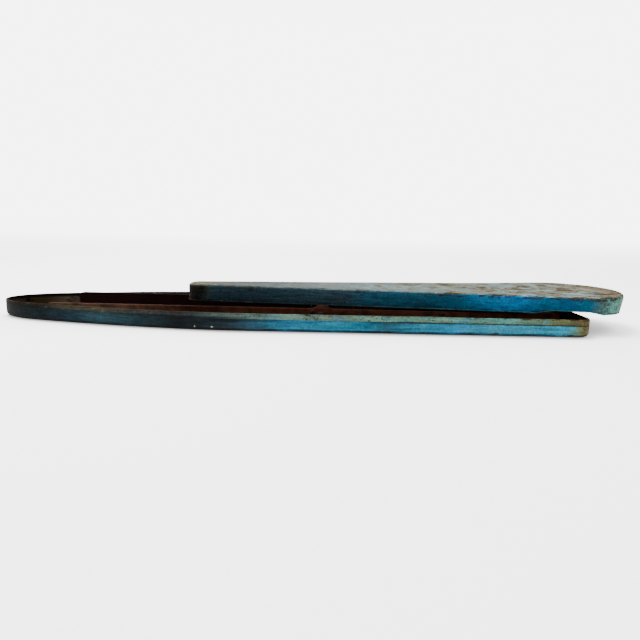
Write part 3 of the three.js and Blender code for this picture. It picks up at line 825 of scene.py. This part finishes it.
# linear colours at places along the boards, from 0 at the left end to 1 at the right end
LOWER_SIDE = [
    (0.01, (0.006, 0.008, 0.009)),
    (0.05, (0.008, 0.011, 0.011)),
    (0.09, (0.005, 0.010, 0.012)),
    (0.14, (0.008, 0.018, 0.025)),
    (0.20, (0.016, 0.038, 0.048)),
    (0.26, (0.010, 0.022, 0.027)),
    (0.34, (0.0055, 0.0070, 0.0080)),
    (0.42, (0.014, 0.024, 0.032)),
    (0.47, (0.021, 0.074, 0.110)),
    (0.51, (0.018, 0.122, 0.205)),
    (0.59, (0.014, 0.140, 0.215)),
    (0.63, (0.010, 0.118, 0.185)),
    (0.67, (0.021, 0.074, 0.112)),
    (0.73, (0.018, 0.142, 0.215)),
    (0.78, (0.016, 0.168, 0.300)),
    (0.81, (0.030, 0.175, 0.250)),
    (0.95, (0.022, 0.185, 0.275)),
    (0.97, (0.044, 0.155, 0.150)),
    (0.985, (0.095, 0.105, 0.050)),
    (1.00, (0.105, 0.085, 0.042)),
]
LOWER_LIP = [
    (0.05, (0.004, 0.0038, 0.0030)),
    (0.10, (0.006, 0.0055, 0.0043)),
    (0.14, (0.036, 0.031, 0.018)),
    (0.20, (0.036, 0.032, 0.019)),
    (0.26, (0.024, 0.024, 0.021)),
    (0.34, (0.016, 0.018, 0.017)),
    (0.42, (0.046, 0.072, 0.062)),
    (0.51, (0.080, 0.150, 0.120)),
    (0.59, (0.078, 0.108, 0.078)),
    (0.66, (0.075, 0.160, 0.118)),
    (0.76, (0.068, 0.150, 0.108)),
    (0.86, (0.062, 0.190, 0.158)),
    (0.94, (0.100, 0.112, 0.044)),
    (0.985, (0.085, 0.063, 0.025)),
]
LOWER_FACE = [
    (0.00, (0.020, 0.035, 0.040)),
    (0.35, (0.012, 0.022, 0.027)),
    (0.60, (0.020, 0.090, 0.125)),
    (1.00, (0.040, 0.110, 0.125)),
]
UPPER_SIDE = [
    (0.005, (0.017, 0.014, 0.010)),
    (0.022, (0.012, 0.011, 0.009)),
    (0.031, (0.006, 0.006, 0.005)),
    (0.043, (0.024, 0.036, 0.037)),
    (0.065, (0.014, 0.032, 0.043)),
    (0.16, (0.014, 0.029, 0.040)),
    (0.28, (0.019, 0.043, 0.056)),
    (0.36, (0.020, 0.040, 0.053)),
    (0.42, (0.014, 0.063, 0.103)),
    (0.55, (0.009, 0.050, 0.082)),
    (0.62, (0.008, 0.076, 0.140)),
    (0.69, (0.006, 0.142, 0.310)),
    (0.74, (0.003, 0.124, 0.300)),
    (0.79, (0.003, 0.086, 0.170)),
    (0.84, (0.002, 0.056, 0.120)),
    (0.88, (0.006, 0.070, 0.120)),
    (0.91, (0.036, 0.085, 0.082)),
    (0.94, (0.060, 0.180, 0.150)),
    (1.00, (0.060, 0.120, 0.088)),
]
UPPER_LIP = [
    (0.00, (0.020, 0.018, 0.015)),
    (0.30, (0.022, 0.040, 0.048)),
    (0.65, (0.036, 0.110, 0.145)),
    (0.90, (0.045, 0.135, 0.160)),
    (1.00, (0.050, 0.080, 0.055)),
]
UPPER_FACE = [
    (0.02, (0.040, 0.037, 0.028)),
    (0.16, (0.030, 0.042, 0.042)),
    (0.27, (0.038, 0.054, 0.056)),
    (0.31, (0.062, 0.080, 0.078)),
    (0.46, (0.062, 0.100, 0.108)),
    (0.62, (0.066, 0.104, 0.092)),
    (0.74, (0.080, 0.155, 0.172)),
    (0.88, (0.095, 0.155, 0.160)),
    (0.97, (0.110, 0.085, 0.045)),
]
# how worn and rusty the faces are, along the boards in the same way
UPPER_FACE_RUST = [(0.0, 0.50), (0.08, 0.40), (0.35, 0.42), (0.55, 0.60), (0.72, 0.76), (1.0, 0.84)]
LOWER_FACE_RUST = [(0.0, 0.50), (1.0, 0.50)]

lower_paint = board_paint(
    "lower_paint",
    (LOWER_TIP_X, LOWER_TAIL_X),
    LOWER_SIDE,
    LOWER_LIP,
    LOWER_FACE,
    LOWER_FACE_RUST,
    vein_from=262 * MM,
    dim_from=-40 * MM,
)
upper_paint = board_paint(
    "upper_paint",
    (upper_low[0], upper_high[0]),
    UPPER_SIDE,
    UPPER_LIP,
    UPPER_FACE,
    UPPER_FACE_RUST,
    vein_from=285 * MM,
    dim_from=-500 * MM,  # left of the board, so there is none
)

finish_piece(
    "lower_board",
    tray("lower_board", lower_half(), lower_profile(), lambda depth: depth, lower_shape),
    "lower_board",
    ["lower_board_pan"],
    lower_paint,
)
finish_piece(
    "upper_board",
    tray("upper_board", upper_half(), upper_profile(), lambda depth: upper_high[2] - depth, upper_shape),
    "upper_board",
    ["upper_board_pan"],
    upper_paint,
)


# ---------------------------------------------------------------------------
# Channels and legs: the frame's shapes with their sheared edges rounded over
# ---------------------------------------------------------------------------
def eased_copy(name, node, body, material, ease=0.22 * MM):
    bm = bmesh.new()
    bm.from_mesh(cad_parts[node].data)
    bmesh.ops.remove_doubles(bm, verts=bm.verts, dist=1e-6)
    bmesh.ops.dissolve_limit(bm, angle_limit=math.radians(1.5), verts=bm.verts, edges=bm.edges)
    layer = bm.faces.layers.float.new("edge")
    sharp = [e for e in bm.edges if len(e.link_faces) == 2 and e.calc_face_angle() > math.radians(32)]
    made = bmesh.ops.bevel(
        bm, geom=sharp, offset=ease, segments=2, profile=0.6, affect="EDGES", clamp_overlap=True
    )
    for face in made["faces"]:
        face[layer] = 1.0
    mesh = bpy.data.meshes.new(name)
    bm.to_mesh(mesh)
    bm.free()
    finish_piece(name, mesh, body, [node], material, angle=35)


DULL_WEAR = (0.045, 0.026, 0.020)
channel_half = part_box("lower_channel")[1][1]
channel_rust = rusty_steel(
    "channel_rust",
    INNER_RUST_AND_SHADE,
    (0.014, 0.003, 0.0022),
    MAROON,
    0.0,
    (0.100, 0.070, 0.050),
    0.2,
    outer=(channel_half - 0.3 * MM, LIT_MAROON, LIT_TAN_MAROON),
)
hanger_rust = rusty_steel("hanger_rust", INNER_RUST_AND_SHADE, MAROON, BROWN_RUST, 0.0, DULL_WEAR, 0.2)
leg_rust = rusty_steel("leg_rust", MAROON, BROWN_RUST, TAN_RUST, 0.01, (0.110, 0.085, 0.070), 0.5)
eased_copy("inner_channel", "lower_channel", "lower_board", channel_rust)
eased_copy("hanger_channel", "upper_channel", "upper_board", hanger_rust)
eased_copy("folding_leg_left", "left_leg", "left_leg_body", leg_rust, 0.3 * MM)
eased_copy("folding_leg_right", "right_leg", "right_leg_body", leg_rust, 0.3 * MM)


# ---------------------------------------------------------------------------
# Turned pieces: pins, rods, sleeves, washers and rivets
# ---------------------------------------------------------------------------
# radii
LOWER_HEAD, UPPER_HEAD, PIN_SHANK = 5 * MM, 4.6 * MM, 2.5 * MM
ROD, ROD_TENON, ROD_HEAD = 3 * MM, 2.1 * MM, 3.2 * MM
RIVET_HEAD, RIVET_SHANK, RIVET_DOME = 3.6 * MM, 2.0 * MM, 3.3 * MM
SLEEVE_BORE = 2.8 * MM


def turned(name, node, body, material, profile, axis="Y", segments=48):
    """Revolves a profile of (radius, distance along the axis) about the middle of the node's box."""
    low, high = (Vector(corner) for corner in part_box(node))
    middle = (low + high) / 2
    closed = profile[0] == profile[-1]
    ring_points = profile[:-1] if closed else profile
    bm = bmesh.new()
    layer = bm.faces.layers.float.new("edge")
    rings = []
    for radius, along in ring_points:
        ring = []
        count = 1 if radius < 1e-7 else segments
        for k in range(count):
            a = 2 * math.pi * k / segments
            u, v = radius * math.cos(a), radius * math.sin(a)
            if axis == "Y":
                ring.append(bm.verts.new((middle.x + u, along, middle.z + v)))
            else:
                ring.append(bm.verts.new((middle.x + u, middle.y + v, along)))
        rings.append(ring)
    pairs = list(zip(rings, rings[1:])) + ([(rings[-1], rings[0])] if closed else [])
    for a, b in pairs:
        for k in range(segments):
            j = (k + 1) % segments
            corners = [a[k % len(a)], a[j % len(a)], b[j % len(b)], b[k % len(b)]]
            unique = [c for i, c in enumerate(corners) if c not in corners[:i]]
            if len(unique) > 2:
                face = bm.faces.new(unique)
                span = max((p.co - q.co).length for p in a[:1] for q in b[:1])
                face[layer] = 1.0 if span < 0.5 * MM else 0.0
    mesh = bpy.data.meshes.new(name)
    bm.to_mesh(mesh)
    bm.free()
    finish_piece(name, mesh, body, [node], material, angle=30)


def eased(corners, radius):
    """Rounds the inner corners of a profile with short fillets."""
    out = [corners[0]]
    for before, here, after in zip(corners, corners[1:], corners[2:]):
        p, q, r = Vector(before), Vector(here), Vector(after)
        cut = min(radius, (p - q).length * 0.45, (r - q).length * 0.45)
        a, b = q + (p - q).normalized() * cut, q + (r - q).normalized() * cut
        for t in (0.0, 0.33, 0.67, 1.0):
            out.append(tuple(a.lerp(q, t).lerp(q.lerp(b, t), t)))
    out.append(corners[-1])
    return out


def pin_profile(node, head, shank):
    low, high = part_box(node)
    start, end = low[1], high[1]
    return eased(
        [
            (0, start), (head * 0.55, start + 0.25 * MM), (head * 0.92, start + 1.0 * MM),
            (head, start + 2.1 * MM), (shank, start + 2.1 * MM), (shank, end - 1.5 * MM),
            (head * 0.85, end - 1.5 * MM), (head * 0.8, end - 0.55 * MM),
            (head * 0.42, end - 0.1 * MM), (0, end),
        ],
        0.25 * MM,
    )


def stop_profile(node, rod, tenon, head):
    low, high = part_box(node)
    start, end = low[1], high[1]
    cap, neck = 1.2 * MM, 3.0 * MM
    return eased(
        [
            (0, start), (head * 0.7, start + 0.12 * MM), (head, start + cap), (tenon, start + cap),
            (tenon, start + neck), (rod, start + neck), (rod, end - neck), (tenon, end - neck),
            (tenon, end - cap), (head, end - cap), (head * 0.7, end - 0.12 * MM), (0, end),
        ],
        0.2 * MM,
    )


def sleeve_profile(node, bore):
    low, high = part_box(node)
    outer = (high[2] - low[2]) / 2
    ease = min(0.3 * MM, (high[1] - low[1]) * 0.25)
    ring = [
        (bore, low[1] + ease), (bore + ease, low[1]), (outer - ease, low[1]), (outer, low[1] + ease),
        (outer, high[1] - ease), (outer - ease, high[1]), (bore + ease, high[1]), (bore, high[1] - ease),
    ]
    return ring + ring[:1]


def rivet_profile(node, head_down):
    """Flush countersunk head at the board's face, domed head inside the channel."""
    low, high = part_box(node)
    face, dome = (low[2], high[2]) if head_down else (high[2], low[2])
    up = 1 if head_down else -1
    return eased(
        [
            (0, face), (RIVET_HEAD, face), (RIVET_SHANK, face + up * 1.0 * MM),
            (RIVET_SHANK, dome - up * 1.55 * MM), (RIVET_DOME, dome - up * 1.5 * MM),
            (3.0 * MM, dome - up * 0.7 * MM), (1.9 * MM, dome - up * 0.15 * MM), (0, dome),
        ],
        0.2 * MM,
    )


pin_steel = rusty_steel("pin_steel", DARK_RUST, BROWN_RUST, TAN_RUST, 0.09, (0.220, 0.190, 0.160), 0.8)
sunk_steel = rusty_steel("sunk_steel", INNER_RUST_AND_SHADE, MAROON, LIT_MAROON, 0.0, DULL_WEAR, 0.2)
small_steel = rusty_steel("small_steel", DARK_RUST, BROWN_RUST, TAN_RUST, 0.03, (0.120, 0.095, 0.075), 0.6)


def pins_and_rods(hand):
    for level, head, steel in (("lower", LOWER_HEAD, sunk_steel), ("upper", UPPER_HEAD, pin_steel)):
        node = f"{hand}_{level}_pin"
        profile = pin_profile(node, head, PIN_SHANK)
        turned(f"{node}_turned", node, f"{level}_board", steel, profile)
    node = f"{hand}_stop_rod"
    profile = stop_profile(node, ROD, ROD_TENON, ROD_HEAD)
    turned(f"{node}_turned", node, "lower_board", sunk_steel, profile)


def sleeve(node, body):
    turned(f"{node}_turned", node, body, small_steel, sleeve_profile(node, SLEEVE_BORE))


for hand in ("left", "right"):
    pins_and_rods(hand)
    for side in ("near", "far"):
        sleeve(f"{hand}_spacer_{side}", "lower_board")
        sleeve(f"{hand}_washer_{side}", "upper_board")
for name in sorted(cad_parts):
    if "rivet" in name:
        is_lower = name.startswith("lower")
        body = "lower_board" if is_lower else "upper_board"
        turned(f"{name}_turned", name, body, small_steel, rivet_profile(name, is_lower), axis="Z")


# ---------------------------------------------------------------------------
# Floor, surroundings and light
# ---------------------------------------------------------------------------
FLOOR_Z = -0.2 * MM
FLOOR_HALF = 6
FLOOR_COLOUR = (0.88, 0.88, 0.89)
NEAR_GLOW, FAR_GLOW, GLOW_Y = 1.6, 4.8, (0.3, 2.5)
SHADOW_REACH, SHADOW_DEPTH = 60 * MM, 0.75
SKY_STRENGTH, SKY_BEHIND = 0.9, 5.4
LIGHT_PLACE, LIGHT_SIZE, LIGHT_POWER = (-0.4, 0.25, 1.4), (0.9, 0.7), 60


def make_floor():
    """Pale sheet that glows more toward the back, with a soft shadow where something stands on it."""
    mesh = bpy.data.meshes.new("floor")
    signs = ((-1, -1), (1, -1), (1, 1), (-1, 1))
    corners = [(a * FLOOR_HALF, b * FLOOR_HALF, FLOOR_Z) for a, b in signs]
    mesh.from_pydata(corners, [], [(0, 1, 2, 3)])
    sheet = bpy.data.objects.new("floor", mesh)
    bpy.context.scene.collection.objects.link(sheet)
    g = Graph("floor")
    darker = tuple(c * 0.985 for c in FLOOR_COLOUR)
    tone = g.mix(g.step(g.noise(3, 3, 0.5), 0.3, 0.7), FLOOR_COLOUR, darker)
    g.put(g.shader.inputs["Base Color"], tone)
    g.shader.inputs["Roughness"].default_value = 0.8
    g.shader.inputs["Specular IOR Level"].default_value = 0.1
    g.shader.inputs["Emission Color"].default_value = (0.97, 0.98, 1, 1)
    nearby = g.tree.nodes.new("ShaderNodeAmbientOcclusion")
    nearby.samples = 12
    nearby.inputs["Distance"].default_value = SHADOW_REACH
    open_sky = g.scaled(g.step(nearby.outputs["AO"], 0.30, 0.98), SHADOW_DEPTH, 1 - SHADOW_DEPTH)
    glow = g.between(g.step(g.axis("Y"), *GLOW_Y), NEAR_GLOW, FAR_GLOW)
    g.put(g.shader.inputs["Emission Strength"], g.times(glow, open_sky))
    mesh.materials.append(g.material)


def make_world():
    """Soft white surroundings, brighter low down behind the object."""
    world = bpy.data.worlds.new("studio")
    bpy.context.scene.world = world
    world.use_nodes = True
    sky = Nodes(world.node_tree, "Generated")
    background = sky.tree.nodes["Background"]
    background.inputs["Color"].default_value = (1.0, 0.995, 0.98, 1)
    low_behind = sky.times(sky.step(sky.axis("Z"), 0.75, 0.30), sky.step(sky.axis("Y"), -0.2, 0.8))
    sky.put(background.inputs["Strength"], sky.scaled(low_behind, SKY_BEHIND, SKY_STRENGTH))


def make_top_light():
    data = bpy.data.lights.new("top_light", "AREA")
    data.shape = "RECTANGLE"
    data.size, data.size_y = LIGHT_SIZE
    data.energy = LIGHT_POWER
    lamp = bpy.data.objects.new("top_light", data)
    lamp.location = LIGHT_PLACE
    lamp.rotation_mode = "QUATERNION"
    lamp.rotation_quaternion = (-Vector(LIGHT_PLACE)).to_track_quat("-Z", "Y")
    bpy.context.scene.collection.objects.link(lamp)


make_floor()
make_world()
make_top_light()
